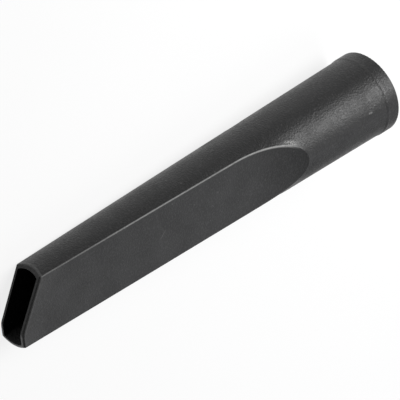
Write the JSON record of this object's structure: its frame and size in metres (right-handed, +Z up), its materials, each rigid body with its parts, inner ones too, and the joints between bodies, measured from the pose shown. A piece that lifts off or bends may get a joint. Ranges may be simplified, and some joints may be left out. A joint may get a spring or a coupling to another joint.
{
  "type": "vacuum crevice tool",
  "caption": "Hollow moulded suction nozzle whose round push-on socket runs out into a flat, tapering duct with a slant-cut mouth, for cleaning narrow gaps.",
  "frame": {"origin": "middle of the tool's outline on the ground it lies on", "axes": "+X along the tool from the socket to the mouth, +Y towards the mouth's long nose side, +Z up out of the upper flat"},
  "size_m": [0.2194, 0.04, 0.0428],
  "materials": {
    "moulded_plastic": "charcoal grey, fine spark-eroded grain"
  },
  "bodies": {
    "root": {"crevice_nozzle": "moulded_plastic"}
  },
  "joints": []
}
